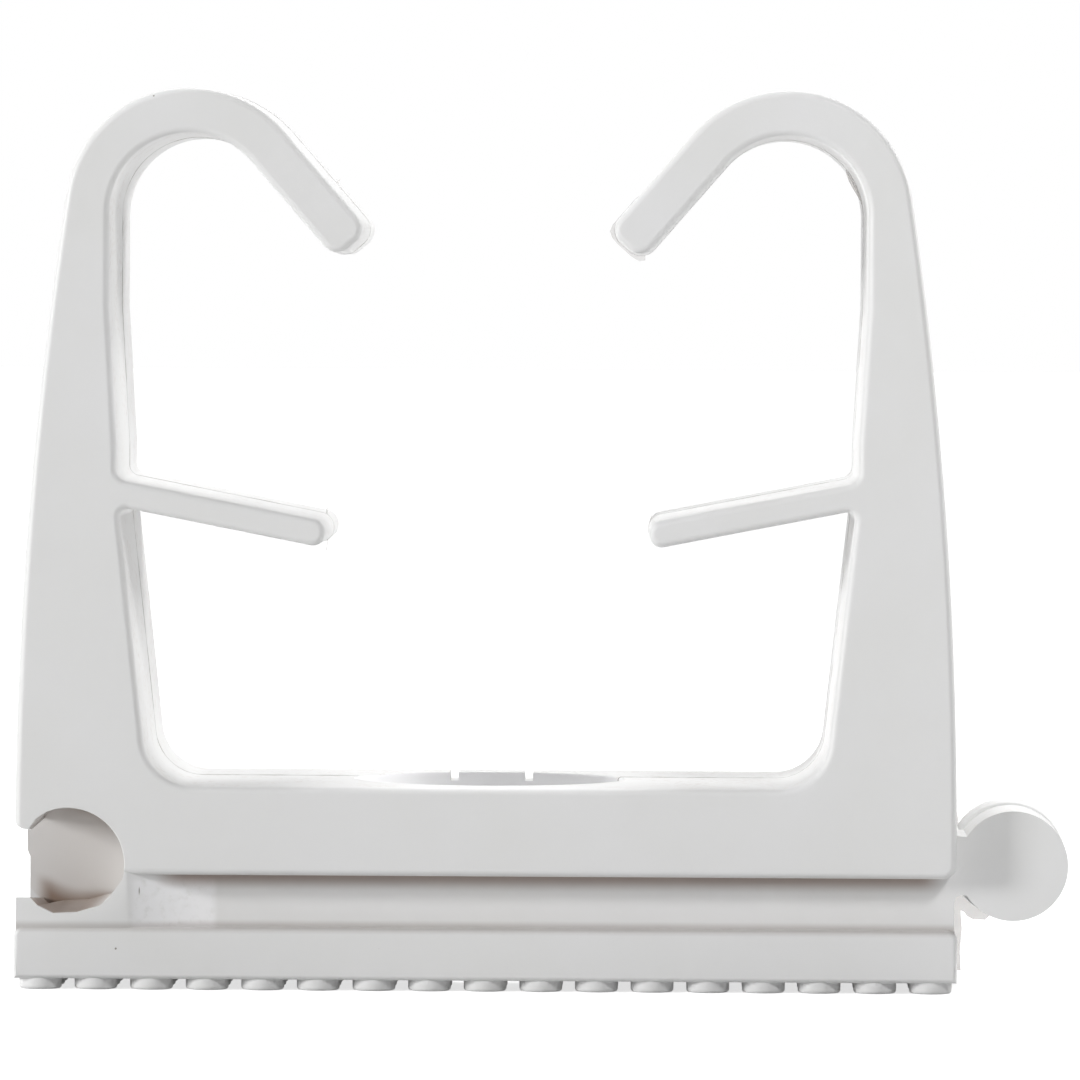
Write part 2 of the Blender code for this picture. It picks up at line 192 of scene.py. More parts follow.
class ClipSeatSizes(PropertyGroup):
    """Screw seat in the floor between the arms."""

    recess_radius: length("Recess radius", 5.75, "Radius of the recess for the screw's head")
    recess_depth: length("Recess depth", 1.2, "Depth of the recess")
    hole_radius: length("Hole radius", 2.4, "Radius of the screw hole")
    notch_spacing: length("Notch spacing", 3.25, "Distance between the two notches")
    notch_width: length("Notch width", 0.36, "Width of a notch")
    notch_depth: length("Notch depth", 0.32, "Depth of a notch")


class ClipPlasticLook(PropertyGroup):
    """Colour and gloss of the plastic, with its painted shade and painted light."""

    base: colour("Plastic", "E9E9E7", "Colour of the white plastic")
    frost: colour("Frosted plastic", "F0F0F1", "Colour of the paler places")
    # Painted shade on the parting line; the same tint serves the real specks and the hair
    line: colour("Parting line", "9A938B", "Tint of the painted shade on the parting line, and of the specks and the hair")
    # Painted shade under the beam and on the socket's upper wall
    shade: colour("Groove and socket painted shade", "BDAFA8", "Tint of the painted shade in the groove and the socket")
    # Painted shade on the socket's lower lip, with a slanting upper edge
    painted_lip_shade: colour("Lower lip painted shade", "AE998B", "Tint of the painted shade on the lower lip")
    # Painted shade on the socket's back wall
    painted_socket_back_shade: colour("Socket back", "F4F2F0", "Tint of the painted shade on the socket's back wall")
    # Painted light on the ramp, with its real frosting, and painted light in the screw's recess
    rubbed_and_painted_light: colour("Frosted ramp and painted light", "FDFDFE", "Colour of the frosted ramp with painted light on it, and of the painted light in the screw seat")
    # Painted shade in the crease where the groove meets the flange
    crease: colour("Crease painted shade", "DDDAD8", "Tint of the painted shade at the groove's foot")
    dust: colour("Dust", "EFEAE7", "Tint of the dust on the walls")
    film: colour("Thin flash", "E8DCD6", "Colour of the thin flash")
    film_alpha: share("Flash opacity", 0.18, "Share of the light that the thin flash stops")
    side_film_alpha: share("Side flash opacity", 0.4, "Share of the light that the side flash stops")
    roughness: share("Roughness", 0.46, "Roughness of the moulded surface")
    grain: length("Grain", 0.16, "Width of the grain")


class ClipStageLook(PropertyGroup):
    """Camera, lights and floor."""

    camera_distance: length("Camera distance", 432.0, "From the camera to the clip's front")
    camera_side: length("Camera side", 5.78, "Place of the camera along the clip")
    camera_height: length("Camera height", 30.1, "Height of the camera")
    aim_side: length("Aim side", -0.15, "Place along the clip that the camera looks at")
    aim_height: length("Aim height", 19.16, "Height that the camera looks at")
    frame_width: length("Frame width", 45.64, "Width of the picture at the clip's front")
    roll: slope("Roll", 0.3, "How far the picture is turned clockwise")
    room_light: share("Room light", 0.04, "Light that comes from all round")
    floor_size: length("Floor size", 6000.0, "Side of the floor")
    floor_colour: colour("Floor", "D0D0D0", "Colour of the floor's card")
    floor_glow: share("Floor glow", 0.7, "White that the floor shows near the clip")
    shadow_reach: length("Shadow reach", 80.0, "Where the floor starts to fade to white")


# Facets of the disc, the round cutters, a stud and an arm's outer arc, and across four round edges
DISC_SIDES = 96
CUTTER_SIDES = 128
STUD_SIDES = 28
ARM_STEPS = 24
CREASE_STEPS = 3
TIP_STEPS = 4
RIM_STEPS = 5
FLARE_STEPS = 4

# Bevel of the disc's crease, gap from the web to the foot's sides, and its sink into its neighbours
CREASE_BEVEL = 0.12 * MM
WEB_INSET = 0.07 * MM
WEB_SINK = 0.4 * MM
# Share of its length that the ramp is drawn to, on under the groove's floor, and width of a pad's slopes
RAMP_OVERRUN = 1.3
PAD_SLOPE = 0.2 * MM
# Room between a stud and an edge, and a stud's sink into the flange
STUD_MARGIN = 0.1 * MM
STUD_SINK = 0.3 * MM
# Round edge of the recess, and band at the edge of the flash round the disc
RECESS_FLARE = 0.12 * MM
RING_INSET = 0.3 * MM
# How far the socket's cutter passes the flange, and where the lower lip's fall starts, left of the centre
MOUTH_REACH = 1.5 * MM
FALL_START = 1.2 * MM
# Degrees left out between the socket's arc and its upper lip, and past which an edge stays sharp
LIP_GAP = 8
SHARP_ANGLE = 32

# Lips of the socket's mouth: angle in degrees and distance from the socket's centre in millimetres
LOWER_LIP = ((221.5, 2.13), (234, 2.16), (253.5, 2.16), (280, 2.06), (292, 2.06), (307.5, 2.21),
             (322, 2.24), (345, 2.4))
UPPER_LIP = ((112, 2.4), (125, 2.36), (137, 2.24))
# The upper lip's end: distance in from the foot's side and height above the socket's centre, in millimetres
LIP_END = ((0.62, 1.52), (0.34, 1.55), (0.13, 1.68), (0.02, 1.92))

# Films of flash, by their corners in millimetres in the front view: beside the base and below the disc
SIDE_FILM = ((19.4, 0.7), (20.2, 0.42), (20.4, 0.4), (20.36, 1.3), (20.44, 2.2), (20.38, 3.0),
             (20.52, 2.94), (20.66, 2.76), (20.92, 2.62), (21.42, 2.6), (22.0, 3.1), (22.3, 5.33),
             (21.2, 6.2), (20.3, 6.5), (20.22, 6.7), (20.28, 7.0), (20.2, 7.25), (20.05, 7.4), (19.4, 7.45))

# On the inner side of the right arm, below the hook
ARM_FILM = ((15.2, 35.2), (15.26, 34.76), (15.37, 34.45), (15.52, 34.19), (15.7, 33.89), (15.87, 33.62),
            (15.97, 33.3), (16.3, 33.3), (16.3, 34.0), (15.8, 34.7))

# Round the right hook's end, and the loose hairs at the tips of the fingers and the left hook
LOOSE_FILMS = (
    ((6.9, 33.9), (6.4, 33.9), (6.1, 33.62), (5.75, 33.2), (5.42, 32.84), (5.18, 32.56), (5.06, 32.26),
     (5.16, 31.98), (5.42, 31.7), (5.7, 31.44), (6.02, 31.16), (6.34, 30.98), (6.6, 31.02), (6.6, 31.6)),
    ((-7.18, 19.7), (-7.08, 19.7), (-7.06, 20.25), (-7.11, 20.6), (-7.13, 20.25)),
    ((-7.02, 18.95), (-7.1, 18.95), (-7.13, 18.6), (-7.2, 18.2), (-7.07, 18.5)),
    ((6.86, 19.8), (6.97, 19.8), (6.94, 20.05), (6.9, 20.28), (6.88, 20.05)),
    ((-7.0, 34.2), (-6.85, 34.05), (-6.66, 34.3), (-6.56, 34.5), (-6.74, 34.38)),
)

# Patterns of the plastic: name, texture, its output, its size in millimetres and other values. Dust is really
# a few hundredths of a millimetre across, and is drawn coarser so that it shows.
PATTERNS = (
    ("flecks", "TexNoise", "Fac", 0.45, {"Detail": 3.0, "Roughness": 0.6}),
    ("patches", "TexNoise", "Fac", 1.6, {"Detail": 3.0}),
    ("dust", "TexVoronoi", "Distance", 0.3, {}),
    ("specks", "TexVoronoi", "Distance", 3.4, {}),
)

# Layers of wear, dust, painted shade and painted light: colour, way of mixing and ramps, which are
# multiplied. A ramp is what it runs along, its datum, and how many millimetres from there the layer ends and
# is full. The ramp of a pattern or a direction has no datum and is in its own values.
BEHIND_EDGE = ("y", "front", 0.3, 0.6)
IN_GROOVE = ("y", "front", 2.0, 1.5)
BEFORE_SEAM = ("y", "parting", 0.9, 0.5)
NEAR_AXIS = ("from_axis", "centre", 2.75, 2.6)
ON_SOCKET = (BEHIND_EDGE, BEFORE_SEAM, ("from_axis", "centre", 1.35, 2.3), NEAR_AXIS)
LAYERS = (
    # Frosted ramp with painted light against its own shading, and painted light in the screw's recess
    ("rubbed_and_painted_light", "MIX", (
        BEFORE_SEAM, ("x", "middle", -15.3, -14.6), ("x", "middle", -11.3, -11.7), ("z", "beam", 0, -0.4),
        ("z", "flange", -0.1, 0), ("flecks", None, 0.15, 0.55))),
    ("rubbed_and_painted_light", "MIX", (
        ("from_screw", "recess", 0.1, 0.05), ("z", "floor", 0.1, -0.05), ("z", "floor", -1.5, -1.3))),
    # Painted shade under the beam, and painted shade in the crease where the groove meets the flange
    ("shade", "MULTIPLY", (
        BEHIND_EDGE, IN_GROOVE, ("z", "beam", -0.75, -0.05), ("z", "beam", 0.3, 0.1),
        ("x", "middle", -14.7, -12.6), ("x", "middle", 19.6, 18.4))),
    ("crease", "MULTIPLY", (("z", "flange", 0.32, 0), ("z", "flange", -0.28, -0.02), IN_GROOVE)),
    # Painted shade on the socket's back wall, and on its upper and lower walls
    ("painted_socket_back_shade", "MULTIPLY", (BEFORE_SEAM, NEAR_AXIS, ("y", "parting", -1.5, -0.2))),
    ("shade", "MULTIPLY", (*ON_SOCKET, ("z", "link", 0.4, 1.6), ("x", "axis", -1.2, 0.3))),
    ("painted_lip_shade", "MULTIPLY", (*ON_SOCKET, ("slant", "lip_shade_edge", -1.2, -1.8), ("x", "axis", -2.1, -1.2))),
    # Painted shade on the seam, dust on the walls from front to back, dark specks, and one hair in the groove
    ("line", "MULTIPLY", (
        ("y", "seam", -0.09, -0.04), ("y", "seam", 0.09, 0.04), ("patches", None, 0.38, 0.6))),
    ("dust", "MULTIPLY", (
        BEHIND_EDGE, ("patches", None, 0.42, 0.62), ("dust", None, 0.55, 0.1),
        ("facing", None, -0.6, -0.3), ("facing", None, 0.5, 0.2))),
    ("line", "MULTIPLY", (("specks", None, 0.016, 0.009),)),
    ("line", "MULTIPLY", (IN_GROOVE, ("from_hair", "centre", 0.04, 0.005))),
)
# Place of the hair along X and Z in millimetres, its width as a share of its length, and the slope of the
# edge of the painted shade on the socket's lower wall
HAIR_PLACE = (-14.66, 4.19)
HAIR_FLATNESS = 0.17
LIP_SHADE_SLOPE = 0.25

# Sizes of the changes of tone and of the flash's streaks, the grain's height and strength, and the values of
# the broad pattern between which the roughness rises, and by how much
TONE_SIZE = 6 * MM
STREAK_SIZE = 0.4 * MM
GRAIN_HEIGHT = 0.01 * MM
GRAIN_STRENGTH = 0.35
ROUGHNESS_RANGE = (0.3, 0.7)
ROUGHNESS_CHANGE = (-0.06, 0.08)
FILM_ROUGHNESS = 0.5
CARD_ROUGHNESS = 0.9
PLASTIC_IOR = 1.5

# Name, azimuth (0 in front, positive to the left) and elevation in degrees, distance, width and height in
# metres, and power in watts
LAMPS = (
    ("left_lamp", 66, 10, 0.35, 0.06, 0.09, 0.78),
    ("right_lamp", -39, 34, 0.17, 0.034, 0.034, 0.097),
    ("top_lamp", 180, 84, 0.35, 0.1, 0.1, 0.34),
    ("left_rear_lamp", 120, 20, 0.35, 0.12, 0.12, 0.15),
    ("right_rear_lamp", -120, 20, 0.35, 0.12, 0.12, 0.45),
    ("rear_lamp", 180, 42, 0.35, 0.18, 0.12, 0.42),
)
# Shadow reaches at which the floor is pure white, and the nearest and farthest that the camera sees
FADE_SPAN = 4
CAMERA_SIGHT = (0.01, 20)

SIZE_GROUPS = {
    "clip_mould": ClipMouldSizes,
    "clip_arms": ClipArmSizes,
    "clip_base": ClipBaseSizes,
    "clip_link": ClipLinkSizes,
    "clip_seat": ClipSeatSizes,
    "clip_plastic": ClipPlasticLook,
    "clip_stage": ClipStageLook,
}


def foot_half():
    """Distance from the middle of the body to the foot's outer side."""
    arms = bpy.context.scene.clip_arms
    return arms.pipe_width / 2 + arms.foot_outset


def flange_half():
    """Distance from the middle of the body to the flange's end."""
    return foot_half() + bpy.context.scene.clip_base.flange_overhang


def body_middle():
    """Place along X of the middle of the body, measured from the packed flange's left end."""
    return CLIP_LOW.x + PACKED_DRAFT + flange_half()


def flange_top():
    """Height of the flange's upper side."""
    base = bpy.context.scene.clip_base
    return base.stud_height + base.flange_thickness


def beam_bottom():
    """Height of the beam's lower side."""
    return flange_top() + bpy.context.scene.clip_base.groove_height


def floor_height():
    """Height of the floor between the arms."""
    return beam_bottom() + bpy.context.scene.clip_base.beam_thickness


def disc_x():
    """Place of the disc's centre along the body."""
    return foot_half() + bpy.context.scene.clip_link.overhang


def socket_x():
    """Place of the socket's centre along the body."""
    return disc_x() - 2 * foot_half() - bpy.context.scene.clip_link.gap


def open_for_edit(piece):
    """Select only this piece and enter edit mode with nothing in its mesh selected."""
    bpy.ops.object.select_all(action="DESELECT")
    bpy.context.view_layer.objects.active = piece
    piece.select_set(True)
    bpy.ops.object.mode_set(mode="EDIT")
    bpy.ops.mesh.select_mode(type="VERT")
    bpy.ops.mesh.select_all(action="DESELECT")


def close_edit():
    """Leave edit mode."""
    bpy.ops.object.mode_set(mode="OBJECT")


def choose(piece, kind, test):
    """Select, in edit mode, the vertices, edges or faces for which the test holds, and count them."""
    bpy.ops.mesh.select_mode(type=kind)
    bpy.ops.mesh.select_all(action="DESELECT")
    mesh = bmesh.from_edit_mesh(piece.data)
    elements = {"VERT": mesh.verts, "EDGE": mesh.edges, "FACE": mesh.faces}[kind]
    chosen = [element for element in elements if test(element)]
    for element in chosen:
        element.select_set(True)
    bmesh.update_edit_mesh(piece.data)
    return len(chosen)


def take_name(name):
    """Name the new active object and its mesh, and put its origin at the scene's."""
    piece = bpy.context.active_object
    piece.name = name
    piece.data.name = name
    bpy.ops.object.transform_apply(location=True, rotation=True, scale=True)
    return piece


def add_round(name, sides, radius, depth, place, lying=False):
    """Add a cylinder, upright or lying along the depth."""
    bpy.ops.object.select_all(action="DESELECT")
    bpy.ops.mesh.primitive_cylinder_add(vertices=sides, radius=radius, depth=depth, location=place,
                                        rotation=(math.pi / 2 if lying else 0, 0, 0))
    return take_name(name)


def add_block(name, low, high):
    """Add a box between two corners."""
    bpy.ops.object.select_all(action="DESELECT")
    bpy.ops.mesh.primitive_cube_add(size=1, location=(Vector(low) + Vector(high)) / 2,
                                    scale=Vector(high) - Vector(low))
    return take_name(name)


def apply_modifier(piece, kind, **settings):
    """Add a modifier with its settings to the active piece, and apply it."""
    modifier = piece.modifiers.new(kind, kind)
    for name, value in settings.items():
        setattr(modifier, name, value)
    bpy.ops.object.modifier_apply(modifier=modifier.name)


def begin_outline(name, x, z, y=FRONT):
    """Add a small plane and merge it to one vertex, from which an outline is drawn."""
    bpy.ops.object.select_all(action="DESELECT")
    bpy.ops.mesh.primitive_plane_add(size=MM, location=(x, y, z))
    piece = take_name(name)
    open_for_edit(piece)
    bpy.ops.mesh.select_all(action="SELECT")
    bpy.ops.mesh.merge(type="CENTER")
    return piece


def pen(piece):
    """Place of the one selected vertex."""
    mesh = bmesh.from_edit_mesh(piece.data)
    return next(vertex.co.copy() for vertex in mesh.verts if vertex.select)


def lines_to(piece, *points):
    """Extrude the selected vertex to each point of the front view in turn."""
    for x, z in points:
        here = pen(piece)
        step = (x - here.x, 0, z - here.z)
        bpy.ops.mesh.extrude_vertices_move(TRANSFORM_OT_translate={"value": step})


def arc_about(piece, x, z, angle):
    """Spin the selected vertex about a centre; a positive angle is anticlockwise from the front."""
    here = pen(piece)
    steps = max(2, math.ceil(abs(angle) / bpy.context.scene.clip_mould.arc_step))
    bpy.ops.mesh.spin(steps=steps, angle=angle, center=(x, here.y, z), axis=(0, 1, 0))


def close_outline(piece, mirrored=False):
    """Fill the outline, completing it first with its mirror image about the body's middle."""
    close_edit()
    if mirrored:
        apply_modifier(piece, "MIRROR", merge_threshold=NEAR / 2)
    open_for_edit(piece)
    bpy.ops.mesh.select_all(action="SELECT")
    bpy.ops.mesh.edge_face_add()


def extrude(x, y, z):
    """Extrude the selected faces."""
    bpy.ops.mesh.extrude_region_move(TRANSFORM_OT_translate={"value": (x, y, z)})


def deepen(*levels):
    """Extrude the selected outline back through each level in turn."""
    for start, end in zip(levels, levels[1:]):
        extrude(0, end - start, 0)
    bpy.ops.mesh.select_all(action="SELECT")
    bpy.ops.mesh.normals_make_consistent(inside=False)


def quarter_round(radius, steps):
    """Steps round a quarter circle: how far each one goes along and aside."""
    turns = [math.pi / 2 * step / steps for step in range(steps + 1)]
    return [(radius * (math.sin(end) - math.sin(start)), radius * (math.cos(start) - math.cos(end)))
            for start, end in zip(turns, turns[1:])]


def at_level(*levels):
    """Test for an element that lies all at one of the depths."""
    def test(element):
        corners = getattr(element, "verts", None) or [element]
        return any(all(abs(corner.co.y - y) < NEAR for corner in corners) for y in levels)
    return test


def fatten(piece, distance, *levels):
    """Move the walls outwards at the given depths."""
    choose(piece, "VERT", at_level(*levels))
    bpy.ops.transform.shrink_fatten(value=distance, use_even_offset=True)


def round_upright(piece, x, z, radius):
    """Round the edges that run along the depth at a corner of the outline, and at its mirror image."""
    def test(edge):
        first, second = edge.verts
        along = abs(first.co.x - second.co.x) < NEAR and abs(first.co.z - second.co.z) < NEAR
        return along and abs(abs(first.co.x) - abs(x)) < NEAR and abs(first.co.z - z) < NEAR

    if not choose(piece, "EDGE", test):
        raise RuntimeError(f"{piece.name} has no corner at {x:.5f}, {z:.5f}")
    mesh = bmesh.from_edit_mesh(piece.data)
    turn = next(abs(edge.calc_face_angle()) for edge in mesh.edges if edge.select)
    segments = max(4, math.ceil(turn / bpy.context.scene.clip_mould.arc_step / 2))
    bpy.ops.mesh.bevel(offset=radius * math.tan(turn / 2), offset_type="OFFSET", segments=segments,
                       profile=0.5, affect="EDGES", clamp_overlap=False)


def round_rims(piece, radius, *levels):
    """Round the front or back edges that lie at the given depths."""
    choose(piece, "EDGE", at_level(*levels))
    bpy.ops.mesh.bevel(offset=radius, offset_type="OFFSET", profile=0.5, affect="EDGES", clamp_overlap=False,
                       segments=bpy.context.scene.clip_mould.edge_segments)


def mould_levels():
    """Depths of a moulded wall from front to back, with the two sides of the parting fin between them."""
    fin = bpy.context.scene.clip_mould.fin_width
    return (FRONT, PARTING - fin - NEAR * 2, PARTING - fin, PARTING, PARTING + NEAR * 2, BACK)


def give_draft(piece):
    """Widen the walls from the front edge to the parting plane, and add the thin fin there."""
    mould = bpy.context.scene.clip_mould
    front, base, fin_front, fin_back, rear_base, back = mould_levels()
    fatten(piece, mould.draft, base, fin_front, fin_back, rear_base, back)
    choose(piece, "VERT", at_level(back + mould.draft))
    bpy.ops.transform.translate(value=(0, -mould.draft, 0))
    fatten(piece, mould.fin_height, fin_front, fin_back)


def move_to_place(piece):
    """Move a finished mesh from the middle of the scene to the body's middle."""
    open_for_edit(piece)
    bpy.ops.mesh.select_all(action="SELECT")
    bpy.ops.transform.translate(value=(body_middle(), 0, 0))
    close_edit()


def combine(piece, tool, operation):
    """Join a tool to the piece, or cut it out, with an exact Boolean, and delete the tool."""
    bpy.ops.object.select_all(action="DESELECT")
    bpy.context.view_layer.objects.active = piece
    piece.select_set(True)
    apply_modifier(piece, "BOOLEAN", operation=operation, solver="EXACT", object=tool)
    bpy.data.objects.remove(tool, do_unlink=True)


class CLIP_OT_arms(Operator):
    """Draw one half of the front view, mirror it, give it depth, round its corners and edges"""

    bl_idname = "clip.arms"
    bl_label = "Arms, hooks and fingers"

    def execute(self, context):
        arms = context.scene.clip_arms
        wall = -arms.pipe_width / 2
        tip = -arms.finger_gap / 2
        rise = math.tan(arms.finger_slope)
        half_finger = arms.finger_thickness / 2 / math.cos(arms.finger_slope)

        def finger(x, side):
            return x, arms.finger_height + (tip - x) * rise + side * half_finger

        floor_end = (wall + arms.lower_bottom_inset, floor_height())
        lower = finger(wall + arms.lower_top_inset, -1)
        waist = finger(wall + arms.waist_inset, 1)
        foot = (-foot_half(), beam_bottom())
        piece = begin_outline("arms", 0, floor_height())
        lines_to(piece, floor_end, lower, finger(tip, -1), finger(tip, 1), waist,
                 (waist[0], waist[1] + arms.waist_length), (wall, arms.hook_height - arms.wall_length),
                 (wall, arms.hook_height))

        hook = wall + arms.hook_radius
        along = Vector((math.cos(arms.hook_slope), -math.sin(arms.hook_slope))) * arms.hook_length
        across = Vector((math.sin(arms.hook_slope), math.cos(arms.hook_slope))) * arms.hook_thickness
        arc_about(piece, hook, arms.hook_height, -math.pi / 2 - arms.hook_slope)
        start = pen(piece)
        inner_end = (start.x + along.x, start.z + along.y)
        outer_end = (inner_end[0] + across.x, inner_end[1] + across.y)
        lines_to(piece, inner_end, outer_end, (start.x + across.x, start.z + across.y))

        # The arm's outer arc is upright at the foot and meets the hook's outer arc without a corner
        outer_radius = arms.hook_radius + arms.hook_thickness
        foot_z = beam_bottom() + arms.foot_straight
        reach = hook - foot[0]
        lift = arms.hook_height - foot_z
        arm_radius = (reach ** 2 + lift ** 2 - outer_radius ** 2) / (2 * (reach - outer_radius))
        arm_x = foot[0] + arm_radius
        meeting = math.atan2(lift, hook - arm_x)
        here = pen(piece)
        turned = math.atan2(here.z - arms.hook_height, here.x - hook)
        arc_about(piece, hook, arms.hook_height, meeting - turned)
        bpy.ops.mesh.spin(steps=ARM_STEPS, angle=math.pi - meeting, center=(arm_x, FRONT, foot_z),
                          axis=(0, 1, 0))
        lines_to(piece, foot, (0, beam_bottom()))

        close_outline(piece, mirrored=True)
        deepen(*mould_levels())
        for corner, radius in ((floor_end, arms.floor_corner), (lower, arms.finger_root_fillet),
                               (finger(tip, -1), arms.finger_corner), (finger(tip, 1), arms.finger_corner),
                               (waist, arms.finger_top_fillet), (inner_end, arms.hook_corner),
                               (outer_end, arms.hook_corner), (foot, arms.beam_corner)):
            round_upright(piece, *corner, radius)
        give_draft(piece)
        round_rims(piece, context.scene.clip_mould.edge_radius, FRONT, BACK)
        close_edit()
        return {"FINISHED"}


class CLIP_OT_flange(Operator):
    """Draw the bottom flange with round upper ends, give it depth and round its edges"""

    bl_idname = "clip.flange"
    bl_label = "Bottom flange"

    def execute(self, context):
        base = context.scene.clip_base
        end = -flange_half()
        piece = begin_outline("flange", 0, flange_top())
        lines_to(piece, (end, flange_top()), (end, base.stud_height), (0, base.stud_height))
        close_outline(piece, mirrored=True)
        deepen(*mould_levels())
        round_upright(piece, end, flange_top(), base.flange_corner)
        give_draft(piece)
        round_rims(piece, base.flange_edge, FRONT, BACK)
        close_edit()
        return {"FINISHED"}


class CLIP_OT_web(Operator):
    """Model the web behind the groove, with the neck and the disc, the rear web and the socket's ramp"""

    bl_idname = "clip.web"
    bl_label = "Web, neck and disc"

    def web(self, side, low, front):
        """Web with the neck and the front part of the disc, in one outline."""
        link = bpy.context.scene.clip_link
        neck = link.neck_height / 2
        opening = math.asin(neck / link.disc_radius)
        neck_end = disc_x() - link.disc_radius * math.cos(opening)
        neck_low = link.disc_height - neck
        neck_high = link.disc_height + neck
        top = floor_height() - bpy.context.scene.clip_base.beam_thickness / 2
        web = begin_outline("web", -side, low, front)
        lines_to(web, (side, low), (side, neck_low), (neck_end, neck_low))
        arc_about(web, disc_x(), link.disc_height, 2 * (math.pi - opening))
        lines_to(web, (side, neck_high), (side, top), (-side, top))
        close_outline(web)
        deepen(front, PARTING)
        for z in (neck_low, neck_high):
            round_upright(web, side, z, link.neck_fillet)
        fatten(web, bpy.context.scene.clip_mould.draft / 2, PARTING)
        close_edit()
        return web

    def rear_disc(self, crease):
        """Wider rear part of the disc, with a round crease in front."""
        link = bpy.context.scene.clip_link
        disc = add_round("rear_disc", DISC_SIDES, link.disc_rear_radius, PARTING - crease,
                         (disc_x() - link.ring_shift, (PARTING + crease) / 2, link.disc_height), lying=True)
        open_for_edit(disc)
        choose(disc, "EDGE", at_level(crease))
        bpy.ops.mesh.bevel(offset=CREASE_BEVEL, segments=CREASE_STEPS, affect="EDGES")
        close_edit()
        return disc

    def ramp(self, side, low, high, front):
        """Flat beside the socket that slopes down to the floor of the groove."""
        base = bpy.context.scene.clip_base
        link = bpy.context.scene.clip_link
        flat_end = socket_x() + link.disc_radius + link.clearance + base.ramp_flat
        ramp_front = FRONT + base.ramp_step
        ramp = add_block("ramp", (-side, ramp_front, low), (flat_end, PARTING, high))
        open_for_edit(ramp)
        choose(ramp, "FACE", lambda face: all(abs(corner.co.x - flat_end) < NEAR for corner in face.verts))
        extrude(base.ramp_length * RAMP_OVERRUN, 0, 0)
        choose(ramp, "VERT", lambda corner: corner.co.x > flat_end + NEAR and corner.co.y < PARTING - NEAR)
        bpy.ops.transform.translate(value=(0, (front - ramp_front) * RAMP_OVERRUN, 0))
        close_edit()
        return ramp

    def pad(self, middle, low, high, front):
        """Low pad on the floor of the groove, with soft sides."""
        base = bpy.context.scene.clip_base
        half = base.pad_width / 2
        rise = base.pad_height
        pad = add_block("pad", (middle - half, front - rise, low), (middle + half, front + rise, high))
        open_for_edit(pad)
        choose(pad, "FACE", at_level(front - rise))
        bpy.ops.transform.resize(value=(1 - PAD_SLOPE / half, 1, 1), center_override=(middle, front, low))
        close_edit()
        return pad

    def execute(self, context):
        base = context.scene.clip_base
        side = foot_half() - WEB_INSET
        low = flange_top() - WEB_SINK
        high = beam_bottom() + WEB_SINK
        front = FRONT + base.groove_depth
        rear = BACK - base.groove_depth
        web = self.web(side, low, front)
        combine(web, self.rear_disc(front + context.scene.clip_link.disc_front_depth), "UNION")
        combine(web, add_block("rear_web", (-side, PARTING - MM, low), (side, rear, high)), "UNION")
        combine(web, self.ramp(side, low, high, front), "UNION")
        for middle in (-base.pad_place, base.pad_place):
            combine(web, self.pad(middle, low, high, front), "UNION")
        return {"FINISHED"}


class CLIP_OT_studs(Operator):
    """Model one stud and set it out in rows under the flange, with none round the screw hole"""

    bl_idname = "clip.studs"
    bl_label = "Studs"

    def execute(self, context):
        base = context.scene.clip_base
        seat = context.scene.clip_seat

        def places(room, pitch):
            count = math.floor((room - 2 * base.stud_radius - 2 * STUD_MARGIN) / pitch) + 1
            return count, -pitch * (count - 1) / 2

        pitch = 2 * base.stud_radius + base.stud_gap
        row_pitch = 2 * base.stud_radius + base.stud_row_gap
        columns, first_x = places(2 * flange_half(), pitch)
        rows, first_y = places(BACK - FRONT, row_pitch)
        height = base.stud_height + STUD_SINK
        studs = add_round("studs", STUD_SIDES, base.stud_radius, height, (first_x, first_y, height / 2))
        open_for_edit(studs)
        choose(studs, "EDGE", lambda edge: all(corner.co.z < NEAR for corner in edge.verts))
        bpy.ops.mesh.bevel(offset=base.stud_tip, segments=TIP_STEPS, profile=0.5, affect="EDGES")
        close_edit()
        for count, offset in ((columns, (pitch, 0, 0)), (rows, (0, row_pitch, 0))):
            apply_modifier(studs, "ARRAY", count=count, use_relative_offset=False, use_constant_offset=True,
                           constant_offset_displace=offset)
        keep_out = seat.hole_radius + base.stud_radius + STUD_MARGIN
        open_for_edit(studs)

        def near_hole(corner):
            column = round((corner.co.x - first_x) / pitch)
            row = round((corner.co.y - first_y) / row_pitch)
            return math.hypot(first_x + column * pitch, first_y + row * row_pitch) < keep_out

        choose(studs, "VERT", near_hole)
        bpy.ops.mesh.delete(type="VERT")
        close_edit()
        return {"FINISHED"}


